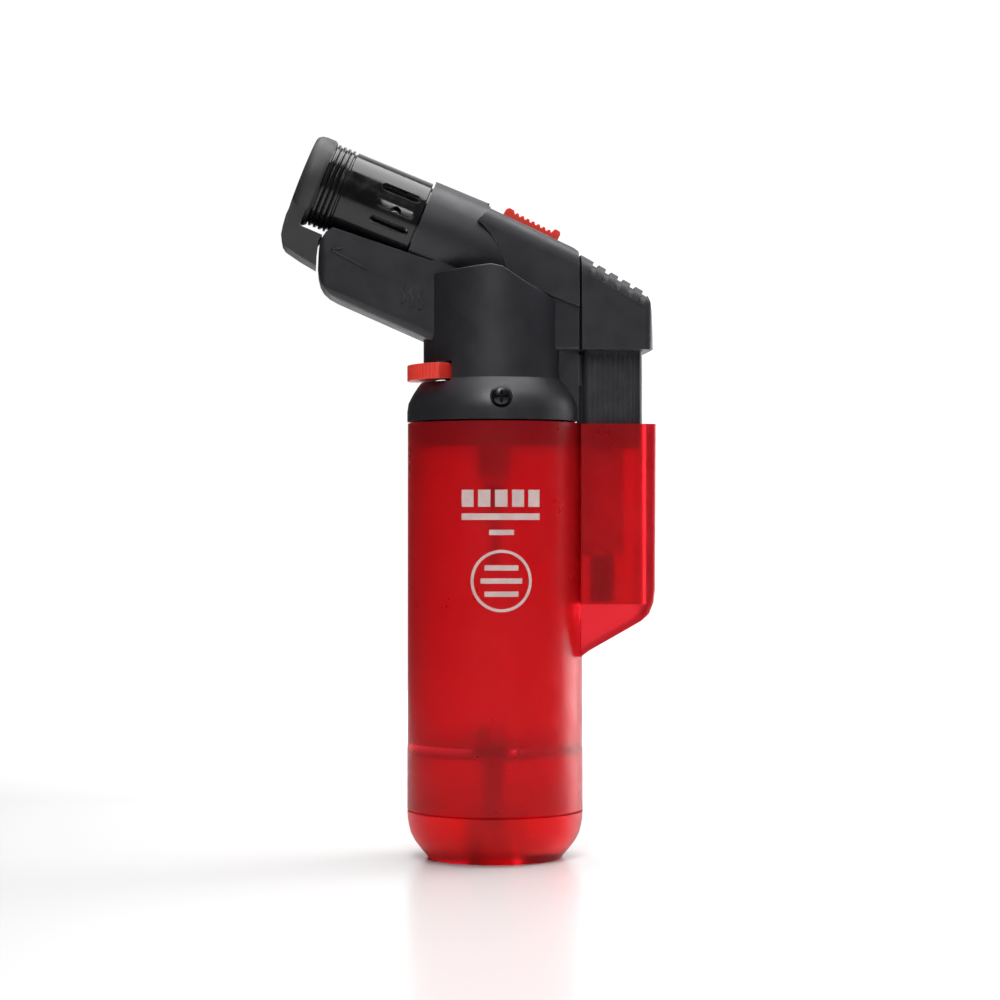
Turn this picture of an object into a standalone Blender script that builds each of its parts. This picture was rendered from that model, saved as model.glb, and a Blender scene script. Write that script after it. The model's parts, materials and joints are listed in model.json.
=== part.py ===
"""Pocket butane torch with an angled nozzle, as separate named pieces.

Metres, +Z up. The nozzle points to -X, the trigger is at +X and the base rests on Z = 0.
All dimensions below are in millimetres, measured from the tank axis; P() moves them into the frame.
"""
import math

import bmesh
import bpy
from mathutils import Matrix, Vector

# ---------------------------------------------------------------- driving dimensions (mm)
TANK_X = 4.43  # tank axis in the frame, so that the bounding box is centred on the origin
TANK_R = 13.73
SKIRT_R = 13.79
TANK_IN = 12.6
Z_BASE_SEAM = 7.5
Z_FLOOR = 17.5
Z_TOP = 68.05
COLLAR_R = 13.82
NECK_R = 11.26
NECK_IN = 9.3
NOZ_P = (-21.37, 103.25)  # a point on the nozzle axis
NOZ_A = math.radians(22.0)  # nozzle axis above the horizontal
TUBE_R = 6.7
HOOD_R = 7.2
TRIGGER_TRAVEL = 5.5
STEM_GROOVES = 5
LEVER_PIVOT = (5.0, 80.0)
GAP = 0.3

# ---------------------------------------------------------------- scene
for o in list(bpy.data.objects):
    bpy.data.objects.remove(o, do_unlink=True)
for m in list(bpy.data.meshes):
    bpy.data.meshes.remove(m)
COL = bpy.context.scene.collection

UX, UZ = -math.cos(NOZ_A), math.sin(NOZ_A)  # towards the tip
DX, DZ = -math.sin(NOZ_A), -math.cos(NOZ_A)  # below the axis


def P(x, y, z):
    return Vector(((x + TANK_X) / 1000.0, y / 1000.0, z / 1000.0))


def nz(s, p):
    """A point at s along the nozzle axis and p below it, as (x, z)."""
    return (NOZ_P[0] + s * UX + p * DX, NOZ_P[1] + s * UZ + p * DZ)


def material(name, color, metallic=0.0, rough=0.5, alpha=1.0):
    m = bpy.data.materials.new(name)
    m.use_nodes = True
    b = m.node_tree.nodes["Principled BSDF"]
    b.inputs["Base Color"].default_value = (*color, 1.0)
    b.inputs["Metallic"].default_value = metallic
    b.inputs["Roughness"].default_value = rough
    b.inputs["Alpha"].default_value = alpha
    m.diffuse_color = (*color, alpha)
    return m


M_RED = material("mat_tank", (0.62, 0.02, 0.025), rough=0.35, alpha=0.85)
M_BASE = material("mat_base", (0.66, 0.03, 0.03), rough=0.35, alpha=0.85)
M_BLACK = material("mat_housing", (0.03, 0.03, 0.033), rough=0.5)
M_TRIG = material("mat_trigger", (0.032, 0.032, 0.036), rough=0.5)
M_GLOSS = material("mat_nozzle", (0.01, 0.01, 0.011), rough=0.12)
M_GUARD = material("mat_guard", (0.028, 0.028, 0.03), rough=0.6)
M_CORAL = material("mat_coral", (0.83, 0.07, 0.035), rough=0.4)
M_CORAL2 = material("mat_coral_lever", (0.83, 0.075, 0.035), rough=0.4)
M_STEEL = material("mat_steel", (0.6, 0.6, 0.62), metallic=1.0, rough=0.35)
M_DARKSTEEL = material("mat_screw", (0.05, 0.05, 0.055), metallic=1.0, rough=0.4)
M_BRASS = material("mat_brass", (0.75, 0.55, 0.22), metallic=1.0, rough=0.35)
M_RUBBER = material("mat_rubber", (0.02, 0.02, 0.02), rough=0.8)
M_CREAM = material("mat_insulator", (0.75, 0.72, 0.65), rough=0.6)
M_TUBE = material("mat_hose", (0.8, 0.8, 0.78), rough=0.4, alpha=0.9)
M_PLUG = material("mat_plug", (0.12, 0.03, 0.03), rough=0.5)
M_CASE = material("mat_case", (0.6, 0.57, 0.55), rough=0.45)
M_PIEZO = material("mat_piezo", (0.04, 0.04, 0.045), rough=0.5)


def link(name, mesh, mat=None):
    o = bpy.data.objects.new(name, mesh)
    COL.objects.link(o)
    if mat is not None:
        mesh.materials.clear()
        mesh.materials.append(mat)
    return o


def from_bm(name, bm, mat=None):
    bmesh.ops.recalc_face_normals(bm, faces=bm.faces)
    me = bpy.data.meshes.new(name)
    bm.to_mesh(me)
    bm.free()
    return link(name, me, mat)


def solid(name, verts, faces, mat=None):
    bm = bmesh.new()
    vs = [bm.verts.new(v) for v in verts]
    for f in faces:
        bm.faces.new([vs[i] for i in f])
    return from_bm(name, bm, mat)


def axis_matrix(origin, direction):
    """Places local +Z along direction, at origin (metres)."""
    q = Vector(direction).to_track_quat("Z", "Y")
    return Matrix.Translation(origin) @ q.to_matrix().to_4x4()


def lathe(name, prof, mat=None, segs=32, origin=None, direction=(0, 0, 1)):
    """Turns a closed outline of (r, z) in mm. Points with r = 0 lie on the axis and become poles."""
    M = axis_matrix(P(0, 0, 0) if origin is None else origin, direction)
    verts, rings = [], []
    for r, z in prof:
        if r < 1e-9:
            verts.append(M @ Vector((0, 0, z / 1000)))
            rings.append([len(verts) - 1])
        else:
            ring = []
            for i in range(segs):
                a = 2 * math.pi * i / segs
                verts.append(M @ Vector((r * math.cos(a) / 1000, r * math.sin(a) / 1000, z / 1000)))
                ring.append(len(verts) - 1)
            rings.append(ring)
    faces = []
    n = len(rings)
    for k in range(n):
        a, b = rings[k], rings[(k + 1) % n]
        if len(a) == 1 and len(b) == 1:
            continue
        for i in range(segs):
            j = (i + 1) % segs
            if len(a) == 1:
                faces.append((a[0], b[j], b[i]))
            elif len(b) == 1:
                faces.append((a[i], a[j], b[0]))
            else:
                faces.append((a[i], a[j], b[j], b[i]))
    return solid(name, verts, faces, mat)


def prism(name, pts, y0, y1, mat=None):
    """An outline of (x, z) pulled along Y."""
    n = len(pts)
    verts = [P(x, y0, z) for x, z in pts] + [P(x, y1, z) for x, z in pts]
    faces = [tuple(range(n))[::-1], tuple(range(n, 2 * n))]
    faces += [(i, (i + 1) % n, n + (i + 1) % n, n + i) for i in range(n)]
    return solid(name, verts, faces, mat)


def pillar(name, pts, z0, z1, mat=None):
    """An outline of (x, y) pulled along Z."""
    n = len(pts)
    verts = [P(x, y, z0) for x, y in pts] + [P(x, y, z1) for x, y in pts]
    faces = [tuple(range(n))[::-1], tuple(range(n, 2 * n))]
    faces += [(i, (i + 1) % n, n + (i + 1) % n, n + i) for i in range(n)]
    return solid(name, verts, faces, mat)


def rrect(x0, x1, y0, y1, r, corners=(1, 1, 1, 1), steps=4):
    """A rectangle with rounded corners: (x0,y0), (x1,y0), (x1,y1), (x0,y1)."""
    out = []
    spec = [
        (x0, y0, 1, 1, 180),
        (x1, y0, -1, 1, 270),
        (x1, y1, -1, -1, 0),
        (x0, y1, 1, -1, 90),
    ]
    for k, (x, y, sx, sy, a0) in enumerate(spec):
        if not corners[k]:
            out.append((x, y))
            continue
        for i in range(steps + 1):
            a = math.radians(a0 + 90 * i / steps)
            out.append((x + sx * r + r * math.cos(a), y + sy * r + r * math.sin(a)))
    return out


def box(name, x0, x1, y0, y1, z0, z1, mat=None):
    return pillar(name, [(x0, y0), (x1, y0), (x1, y1), (x0, y1)], z0, z1, mat)


def sweep(name, path, radius, mat=None, sides=8):
    """A round rod along a path of metre points, with flat ends."""
    pts = [Vector(p) for p in path]
    n = len(pts)
    tang = []
    for i in range(n):
        a, b = pts[max(i - 1, 0)], pts[min(i + 1, n - 1)]
        tang.append((b - a).normalized())
    up = Vector((0, 1, 0)) if abs(tang[0].y) < 0.9 else Vector((0, 0, 1))
    u = (up - tang[0] * up.dot(tang[0])).normalized()
    verts, faces = [], []
    for i in range(n):
        u = (u - tang[i] * u.dot(tang[i])).normalized()
        v = tang[i].cross(u)
        for k in range(sides):
            a = 2 * math.pi * k / sides
            verts.append(pts[i] + (u * math.cos(a) + v * math.sin(a)) * radius / 1000)
    for i in range(n - 1):
        for k in range(sides):
            j = (k + 1) % sides
            faces.append((i * sides + k, i * sides + j, (i + 1) * sides + j, (i + 1) * sides + k))
    faces.append(tuple(range(sides))[::-1])
    faces.append(tuple((n - 1) * sides + k for k in range(sides)))
    return solid(name, verts, faces, mat)


def helix(x, y, z0, z1, r, turns, per=12):
    n = int(turns * per)
    return [
        P(x + r * math.cos(2 * math.pi * i / per), y + r * math.sin(2 * math.pi * i / per), z0 + (z1 - z0) * i / n)
        for i in range(n + 1)
    ]


def spline(pts, steps=6):
    """Catmull-Rom through mm points (x, y, z), in metres."""
    v = [Vector(p) for p in pts]
    v = [v[0] * 2 - v[1]] + v + [v[-1] * 2 - v[-2]]
    out = []
    for i in range(1, len(v) - 2):
        for k in range(steps):
            t = k / steps
            a, b, c, d = v[i - 1], v[i], v[i + 1], v[i + 2]
            q = 0.5 * (2 * b + (c - a) * t + (2 * a - 5 * b + 4 * c - d) * t * t + (3 * b - a - 3 * c + d) * t**3)
            out.append(P(*q))
    out.append(P(*v[-2]))
    return out


def tidy(o):
    bm = bmesh.new()
    bm.from_mesh(o.data)
    bmesh.ops.remove_doubles(bm, verts=bm.verts, dist=2e-6)
    bmesh.ops.dissolve_degenerate(bm, edges=bm.edges, dist=2e-6)
    bmesh.ops.recalc_face_normals(bm, faces=bm.faces)
    bm.to_mesh(o.data)
    bm.free()


def boolean(a, b, op, keep=False):
    m = a.modifiers.new("b", "BOOLEAN")
    m.object = b
    m.operation = op
    m.solver = "EXACT"
    dg = bpy.context.evaluated_depsgraph_get()
    me = bpy.data.meshes.new_from_object(a.evaluated_get(dg))
    a.modifiers.clear()
    mats = [s for s in a.data.materials]
    a.data = me
    if mats:
        me.materials.clear()
        me.materials.append(mats[0])
        for p in me.polygons:
            p.material_index = 0
    if not keep:
        bpy.data.objects.remove(b, do_unlink=True)
    tidy(a)
    return a


def cut(a, b, keep=False):
    return boolean(a, b, "DIFFERENCE", keep)


def join(a, b, keep=False):
    return boolean(a, b, "UNION", keep)


def common(a, b, keep=False):
    return boolean(a, b, "INTERSECT", keep)


def bevel(o, width, segs, test):
    """Rounds the edges for which test(mid, face normals) is true; mid in mm from the tank axis."""
    bm = bmesh.new()
    bm.from_mesh(o.data)
    bm.normal_update()
    pick = []
    for e in bm.edges:
        if len(e.link_faces) != 2:
            continue
        if e.calc_face_angle(0) < math.radians(30):
            continue
        mid = (e.verts[0].co + e.verts[1].co) / 2
        q = Vector((mid.x * 1000 - TANK_X, mid.y * 1000, mid.z * 1000))
        if test(q, e):
            pick.append(e)
    if pick:
        bmesh.ops.bevel(bm, geom=pick, offset=width / 1000, segments=segs, profile=0.5, affect="EDGES", clamp_overlap=True)
    bmesh.ops.recalc_face_normals(bm, faces=bm.faces)
    bm.to_mesh(o.data)
    bm.free()
    return o


def origin_at(o, x, y, z):
    c = P(x, y, z)
    o.data.transform(Matrix.Translation(-c))
    o.location = c
    return o


def cyl(name, origin, direction, r, z0, z1, segs=32, mat=None):
    return lathe(name, [(0, z0), (r, z0), (r, z1), (0, z1)], mat, segs, origin, direction)


def section(name, hw, r, up, down, origin, direction, length, steps=4, top=True):
    """A bar along a direction (x, z) in mm, 2 hw wide, with its two upper (or lower) edges rounded."""
    dx, dz = direction
    k = math.hypot(dx, dz)
    dx, dz = dx / k, dz / k
    nx, nz_ = -dz, dx
    if nz_ < 0:
        nx, nz_ = -nx, -nz_
    pts = rrect(-hw, hw, -down, up, r, (0, 0, 1, 1) if top else (1, 1, 0, 0), steps)
    n = len(pts)
    verts = []
    for t in (0.0, length):
        for y, h in pts:
            verts.append(P(origin[0] + dx * t + nx * h, y, origin[1] + dz * t + nz_ * h))
    faces = [tuple(range(n))[::-1], tuple(range(n, 2 * n))]
    faces += [(i, (i + 1) % n, n + (i + 1) % n, n + i) for i in range(n)]
    return solid(name, verts, faces)


NO = P(NOZ_P[0], 0, NOZ_P[1])
ND = (UX, 0, UZ)


def arc_prism(name, r0, r1, a0, a1, z0, z1, steps, mat=None, rim=None):
    """A curved block about the tank axis between two angles in degrees; rim(i) changes its outer radius."""
    pts = []
    for i in range(steps + 1):
        a = math.radians(a0 + (a1 - a0) * i / steps)
        r = r1 + (rim(i) if rim else 0)
        pts.append((r * math.cos(a), r * math.sin(a)))
    for i in range(steps, -1, -3 if steps % 3 == 0 else -1):
        a = math.radians(a0 + (a1 - a0) * i / steps)
        pts.append((r0 * math.cos(a), r0 * math.sin(a)))
    return pillar(name, pts, z0, z1, mat)


# ================================================================ tank
def holster_outline(x0, x1, hw, r, steps=5):
    return rrect(x0, x1, -hw, hw, r, (0, 1, 1, 0), steps)


tank = lathe(
    "fuel_tank",
    [
        (SKIRT_R, Z_BASE_SEAM + 0.15), (SKIRT_R, 17.0), (TANK_R, 17.6), (TANK_R, Z_TOP),
        (TANK_IN, Z_TOP), (TANK_IN, 18.4), (TANK_IN - 0.6, 17.9), (2.75, 17.9),
        (2.75, 16.7), (TANK_IN - 0.5, 16.7), (TANK_IN, 16.2), (TANK_IN, Z_BASE_SEAM + 0.15),
    ],
    M_RED, 48,
)
HOL = [(12.95, 31.6), (13.22, 31.94), (14.34, 32.72), (19.75, 35.75), (22.3, 37.2), (23.7, 38.4), (24.35, 40.0),
       (24.6, 42.0), (24.75, 67.9), (12.95, 67.9)]
hol = prism("hol", HOL, -6.6, 6.6)
bevel(hol, 3.6, 5, lambda q, e: abs(abs(q.y) - 6.6) < 0.01 and q.x > 23.9)
bevel(hol, 1.1, 2, lambda q, e: abs(abs(q.y) - 6.6) < 0.01 and 13.3 < q.x < 23.95 and q.z < 41)
holster_pocket = pillar("hp", rrect(13.05, 23.55, -5.75, 5.75, 2.6, (0, 1, 1, 0), 4), 39.8, 75)
hol = cut(hol, holster_pocket)
# the housing's joint with the wall is clear of the chamber
core = cyl("core", P(0, 0, 0), (0, 0, 1), TANK_IN + 0.25, 20, 90, 64)
hol = cut(hol, core)
tank = join(tank, hol)
# front mouth of the pocket, so that the stem runs against the tank wall
slotc = box("s", 13.02, 14.4, -5.75, 5.75, 39.8, 75)
bpy.data.objects.remove(slotc, do_unlink=True)

# ================================================================ base cap
base = lathe(
    "base_cap",
    [
        (3.3, 0.0), (10.5, 0.0), (10.85, 0.55), (11.5, 1.3), (12.15, 2.1), (12.75, 2.95), (13.25, 3.95),
        (13.55, 5.1), (13.72, 6.2), (13.79, Z_BASE_SEAM - 0.15), (12.25, Z_BASE_SEAM - 0.15), (12.25, 9.6), (11.3, 9.6),
        (11.3, 5.2), (9.4, 1.7), (4.8, 1.7), (4.8, 6.2), (3.3, 6.2),
    ],
    M_BASE, 48,
)

# ================================================================ refill valve
refill_body = lathe(
    "refill_valve_body",
    [(1.3, 5.0), (2.1, 5.0), (2.1, 15.2), (2.45, 15.6), (2.45, 18.2), (3.3, 18.2), (3.3, 18.9), (2.2, 20.4),
     (1.0, 20.4), (1.0, 19.4), (1.5, 19.4), (1.5, 7.0), (1.0, 7.0), (1.0, 6.6), (1.3, 6.2)],
    M_BRASS, 16,
)
refill_gasket = lathe("refill_valve_gasket", [(2.8, 18.02), (3.75, 18.02), (3.75, 18.22), (2.8, 18.22)], M_RUBBER, 24)
bpy.data.objects.remove(refill_gasket, do_unlink=True)
refill_gasket = lathe(
    "refill_valve_gasket", [(2.65, 15.0), (3.1, 15.0), (3.2, 15.2), (3.2, 16.2), (3.1, 16.4), (2.65, 16.4)],
    M_RUBBER, 18)
refill_stem = lathe(
    "refill_valve_stem",
    [(0, 5.4), (0.7, 5.4), (0.7, 7.3), (1.2, 7.3), (1.2, 8.3), (0.55, 8.3), (0.55, 9.6), (0, 9.6)],
    M_BRASS, 14,
)
origin_at(refill_stem, 0, 0, 5.4)
refill_spring = sweep("refill_spring", helix(0, 0, 8.75, 19.0, 1.05, 5, 8), 0.16, M_STEEL, 4)

# ================================================================ tank top plug, gas valve
plug = lathe(
    "tank_top_plug",
    [
        (3.1, 64.3), (12.3, 64.3), (12.3, 65.0), (11.35, 65.0), (11.35, 66.6), (12.3, 66.6), (12.3, 68.0), (11.3, 68.2),
        (11.3, 72.6), (11.1, 72.8), (9.0, 72.8), (9.0, 68.2), (4.4, 68.2), (4.4, 70.0), (3.1, 70.0),
    ],
    M_PLUG, 32,
)
for s in (-1, 1):
    pilot = cyl("pilot", P(0, s * 13.5, 71.75), (0, -s, 0), 0.95, 0, 6, 16)
    plug = cut(plug, pilot)
# the rim of the plug stops short of the trigger's stem
plug = cut(plug, box("c", 10.2, 14, -7.5, 7.5, 68.12, 80))
oring = lathe(
    "top_plug_oring",
    [(12.0 + 0.42 * math.cos(math.radians(a)), 65.8 + 0.42 * math.sin(math.radians(a))) for a in range(0, 360, 60)],
    M_RUBBER, 32,
)
gas_body = lathe(
    "gas_valve_body",
    [(0.8, 59.0), (2.0, 59.0), (2.8, 59.6), (2.8, 70.4), (4.1, 70.4), (4.1, 71.6), (2.8, 71.9), (2.8, 77.6),
     (1.0, 77.6), (1.0, 75.6), (1.7, 75.6), (1.7, 61.0), (0.8, 61.0)],
    M_BRASS, 16,
)
gas_filter = lathe("gas_filter", [(0, 61.3), (1.4, 61.3), (1.4, 62.6), (0, 62.6)], M_CREAM, 20)
gas_stem = lathe(
    "gas_valve_stem",
    [(0, 63.1), (1.35, 63.1), (1.35, 64.6), (0.7, 64.9), (0.7, 80.55), (1.7, 80.55), (1.7, 81.15), (0.7, 81.3), (0.7, 84.2),
     (0, 84.2)],
    M_BRASS, 14,
)
origin_at(gas_stem, 0, 0, 63.1)
gas_spring = sweep("gas_valve_spring", helix(0, 0, 65.2, 75.2, 1.18, 5, 8), 0.18, M_STEEL, 4)
dip = sweep("capillary_tube", spline([(1.5, 0, 58.5), (1.9, 0, 55.0), (2.1, 0, 50.0), (2.2, 0, 44.0)], 3), 0.45, M_TUBE, 10)
bpy.data.objects.remove(dip, do_unlink=True)
dip = lathe("capillary_tube", [(0.35, 57.6), (0.75, 57.6), (0.75, 46.0), (0.35, 46.0)][::-1], M_TUBE, 10)
dip_ferrule = lathe("capillary_ferrule", [(1.05, 55.5), (1.7, 55.5), (1.7, 58.7), (1.05, 58.7)], M_BRASS, 20)

# ================================================================ flame adjuster
hub = lathe("flame_adjuster", [(3.15, 74.75), (5.2, 74.75), (5.2, 76.95), (3.15, 76.95)], M_CORAL2, 32)
arm = box("arm", -10.2, -4.3, -2.4, 2.4, 75.0, 76.8)
arm.data.transform(Matrix.Translation(P(0, 0, 0)) @ Matrix.Rotation(math.radians(14), 4, "Z") @ Matrix.Translation(-P(0, 0, 0)))
hub = join(hub, arm)
serr = arc_prism("tab", 9.6, 13.55, 162, 226, 74.75, 77.15, 36, None, lambda i: 0.27 if i % 2 else -0.08)
hub = join(hub, serr)
adjuster = hub
adjuster.data.materials.clear()
adjuster.data.materials.append(M_CORAL2)
origin_at(adjuster, 0, 0, 75.9)

# ================================================================ head housing
collar = lathe(
    "head_housing",
    [(0, 68.35), (COLLAR_R, 68.35), (COLLAR_R, 69.9), (13.63, 71.2), (12.97, 72.5), (12.21, 73.7), (11.6, 74.5),
     (NECK_R, 74.9), (NECK_R, 95.0), (0, 95.0)],
    M_BLACK, 48,
)
roof = prism("roof", [(-14.5, 60), (14.5, 60), (14.5, 83.5), (7.8, 87.6), (3.8, 89.7), (0.4, 91.9), (-1.4, 92.3), (-12.5, 90.9), (-14.5, 89)],
             -15, 15)
head = common(collar, roof)
bevel(head, 1.5, 3, lambda q, e: q.z > 83 and math.hypot(q.x, q.y) > NECK_R - 0.3)

NOSE = [
    nz(2.0, 6.2), nz(2.75, 7.2), (-27.55, 96.2), (-27.75, 94.7), (-27.85, 92.6), (-27.7, 91.0), (-27.4, 89.8), (-26.8, 88.75),
    (-25.9, 87.9), (-24.5, 87.1), (-18.1, 84.3), (-10.0, 80.75), (-6.0, 84.0), (-6.0, 95.0), nz(-14.0, 5.2),
]
nose = prism("nose", NOSE, -6.5, 6.5)
nose = common(nose, section("ns", 5.4, 1.5, 30, 0.0, (-34.0, 91.13), (14.5, -6.35), 40, 4, False))
nose = common(nose, pillar("np", rrect(-27.9, 0, -5.42, 5.42, 1.5, (1, 0, 0, 1), 4), 70, 110))
hood = cyl("hood", NO, ND, HOOD_R, -33.5, -10.15, 40)
HOODR = [(-0.95, 101.55), (0.79, 100.62), (10.45, 96.13), (11.24, 95.82), (12.03, 95.36), (12.62, 94.7), (12.62, 86.1),
         (7.63, 88.0), (3.8, 90.0), (1.3, 91.5), (0.9, 93.2), (0.1, 95.2), (-1.2, 97.3), (-2.2, 98.4), (-3.2, 99.4)]
hoodr = prism("hoodr", HOODR, -8.5, 8.5)
hoodr = common(hoodr, section("hs", 7.35, 2.8, 0.0, 30, (-8.0, 104.75), (9.66, -4.49), 40, 5))
step_cut = prism("stc", [(-0.95, 101.6), (0.79, 100.66), (10.45, 96.17), (13.5, 94.2), (20, 95), (20, 110), (-0.6, 110)], -10, 10)
hood = cut(hood, step_cut)
tailc = box("tc", 12.62, 40, -12, 12, 60, 120)
hood = cut(hood, tailc)
head = join(head, nose)
head = join(head, hood)
head = join(head, hoodr)
cheek = prism("cheek", [(6.0, 79.3), (12.62, 79.3), (12.62, 87.5), (6.0, 91.0)], -6.9, 6.9)
bevel(cheek, 0.6, 2, lambda q, e: abs(abs(q.y) - 6.9) < 0.01 and q.x > 6.5 and q.z < 79.6)
head = join(head, cheek)
lower = prism("lower", [(5.0, 68.35), (12.62, 68.35), (12.62, 79.9), (5.0, 79.9)], -5.9, 5.9)
head = join(head, lower)
# the collar is cut flat where the trigger's stem runs
head = cut(head, box("flat", 12.62, 30, -15, 15, 60, 79.9))

# inside: neck, barrel, lever window, adjuster slot
inner = cyl("inner", P(0, 0, 0), (0, 0, 1), NECK_IN, 60, 89.2, 32)
inner = join(inner, section("passage", 4.5, 0.8, 3.4, 6.9, nz(-27.0, 0.0), (UX, UZ), 13, 2))
head = cut(head, inner)
recess = lathe("recess", [(0, 60), (12.25, 60), (12.25, 70.6), (11.6, 70.9), (11.6, 73.1), (0, 73.1)], None, 48)
recess = cut(recess, box("rc", 11.3, 30, -15, 15, 50, 90))
head = cut(head, recess)
head = cut(head, cyl("bore", NO, ND, 6.35, -21.0, -9.0, 36))
head = cut(head, cyl("saddle", NO, ND, TUBE_R + GAP, -10.0, 20, 48))
head = cut(head, box("window", 8.0, 20, -2.4, 2.4, 75.6, 84.0))
head = cut(head, arc_prism("slot", 8.6, 14.5, 131, 229.5, 74.42, 77.5, 24))
for s in (-1, 1):
    head = cut(head, cyl("cb", P(0, s * 15.0, 71.75), (0, -s, 0), 1.75, 0, 2.35, 20))
    head = cut(head, cyl("cs", P(0, s * 15.0, 71.75), (0, -s, 0), 1.05, 0, 5, 16))
# slider pocket and slot on the sloping top
SL_A = math.atan2(100.29 - 95.98, 9.5 - 1.02)
SLX, SLZ = math.cos(SL_A), -math.sin(SL_A)  # down the slope, towards the trigger
SNX, SNZ = math.sin(SL_A), math.cos(SL_A)  # out of the slope
SL0 = (1.02, 100.6)  # front lower corner of the slider


def sl(t, n):
    return (SL0[0] + t * SLX + n * SNX, SL0[1] + t * SLZ + n * SNZ)


head = cut(head, prism("pocket", [sl(-2.9, 0.9), sl(-2.9, -0.35), sl(9.8, -0.35), sl(9.8, 0.9)], -3.15, 3.15))
head = cut(head, prism("tabslot", [sl(-0.2, 2), sl(-0.2, -9), sl(7.2, -9), sl(7.2, 2)], -1.5, 1.5))
head = cut(head, prism("clipspace", [sl(-2.2, -2.0), sl(-2.2, -6), sl(9.2, -6), sl(9.2, -2.0)], -3.6, 3.6))
# pin holes
head = cut(head, cyl("ph", P(LEVER_PIVOT[0], -20, LEVER_PIVOT[1]), (0, 1, 0), 0.95, 11.6, 28.4, 16))

# ================================================================ screws
def screw(name, side):
    """A pan-head screw that points inwards from side * Y."""
    o = P(0, side * 13.35, 71.75)
    d = (0, -side, 0)
    s = lathe(name, [(0, -0.42), (0.8, -0.36), (1.3, -0.1), (1.42, 0.25), (1.42, 0.55), (0.75, 0.75), (0.65, 1.0), (0.65, 3.9),
                     (0.35, 4.5), (0, 4.5)], M_DARKSTEEL, 16, o, d)
    for a in (0, 1):
        w, h = (0.19, 0.95) if a else (0.95, 0.19)
        y0, y1 = sorted((side * 14.3, side * 13.05))
        s = cut(s, box("x", -w, w, y0, y1, 71.75 - h, 71.75 + h))
    return s


screw_l = screw("collar_screw_left", -1)
screw_r = screw("collar_screw_right", 1)

# ================================================================ nozzle
NT = [(5.75, -12.6), (6.05, -12.6), (6.05, -9.85), (TUBE_R, -9.85), (TUBE_R, 2.7), (6.35, 2.8), (6.35, 3.1)]
for k in range(4):
    s0 = 3.1 + 0.82 * k
    NT += [(6.76, s0 + 0.08), (6.76, s0 + 0.44), (6.35, s0 + 0.52)][: 3]
NT += [(6.35, 6.4), (6.15, 6.4), (6.15, 8.6), (5.75, 8.6)]
tube = lathe("nozzle_tube", NT, M_GLOSS, 32, NO, ND)


def slot_cutter(theta, side):
    """A stadium through the wall at theta degrees above the axis plane, on side * Y."""
    t = math.radians(theta)
    # outward direction in the plane across the axis
    up = Vector((-DX, 0, -DZ))
    out = Vector((0, side, 0)) * math.cos(t) + up * math.sin(t)
    along = Vector(ND)
    w = along.cross(out)
    L0, L1, hw = -8.4, -3.3, 0.62
    pts = []
    for i in range(7):
        a = math.radians(-90 + 30 * i)
        pts.append((L1 + hw * math.cos(a), hw * math.sin(a)))
    for i in range(7):
        a = math.radians(90 + 30 * i)
        pts.append((L0 + hw * math.cos(a), hw * math.sin(a)))
    n = len(pts)
    verts = []
    for r in (4.9, 8.0):
        for s, q in pts:
            verts.append(NO + (along * s + w * q + out * r) / 1000)
    faces = [tuple(range(n))[::-1], tuple(range(n, 2 * n))]
    faces += [(i, (i + 1) % n, n + (i + 1) % n, n + i) for i in range(n)]
    return solid("slotc", verts, faces)


for side in (-1, 1):
    for th in (24, 0, -24):
        tube = cut(tube, slot_cutter(th, side))

guard = lathe("nozzle_guard", [(6.45, 6.3), (6.8, 6.3), (7.1, 6.7), (7.1, 8.2), (6.95, 8.9), (6.6, 9.4), (6.3, 9.55), (6.3, 8.9), (6.45, 8.7)],
              M_GUARD, 36, NO, ND)
TONGUE = [
    nz(9.35, 4.0), nz(9.5, 7.1), nz(9.3, 8.9), nz(9.05, 10.2), nz(8.5, 11.1), nz(7.75, 11.65), nz(6.9, 11.85), nz(5.0, 12.25),
    nz(3.25, 12.5), (-28.15, 92.35), (-28.05, 94.7), (-27.85, 96.3), nz(3.15, 7.85), nz(7.0, 7.8), nz(7.0, 4.0),
]
tongue = prism("tongue", TONGUE, -4.9, 4.9)
bevel(tongue, 0.8, 2, lambda q, e: abs(abs(q.y) - 4.9) < 0.01 and (q.x < -31.0 or q.z < 95.0))
tongue = cut(tongue, cyl("tg", NO, ND, 6.55, -5, 20, 36))
guard = join(guard, tongue)

burner = lathe("burner_tube", [(3.1, -13.0), (3.8, -13.0), (3.8, 4.6), (4.1, 4.9), (4.1, 5.6), (3.1, 5.6)], M_STEEL, 20, NO, ND)
for side in (-1, 1):
    burner = cut(burner, cyl("ah", NO + Vector((UX, 0, UZ)) * -0.006, (0, side, 0), 0.9, 0.5, 6, 14))
jet = lathe("gas_jet", [(0.25, -19.5), (0.85, -19.5), (0.85, -16.0), (2.7, -15.6), (2.7, -11.2), (1.2, -10.4), (0.25, -10.4)], M_BRASS, 24,
            NO, ND)
holder = lathe("flame_holder", [(0.8, 1.6), (2.75, 1.6), (2.75, 2.8), (0.8, 2.8)], M_CREAM, 24, NO, ND)
ring = lathe("nozzle_retaining_ring", [(4.2, -9.4), (5.4, -9.4), (5.4, -8.6), (4.2, -8.6)], M_STEEL, 32, NO, ND)


def nzp(s, p, y=0.0):
    x, z = nz(s, p)
    return (x, y, z)


electrode = sweep("ignition_electrode", spline([nzp(-7.9, -4.78), nzp(-4.0, -4.78), nzp(1.0, -4.78), nzp(4.2, -4.9), nzp(6.6, -4.5), nzp(7.2, -3.4)], 3), 0.32, M_STEEL, 6)
insul = None

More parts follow.
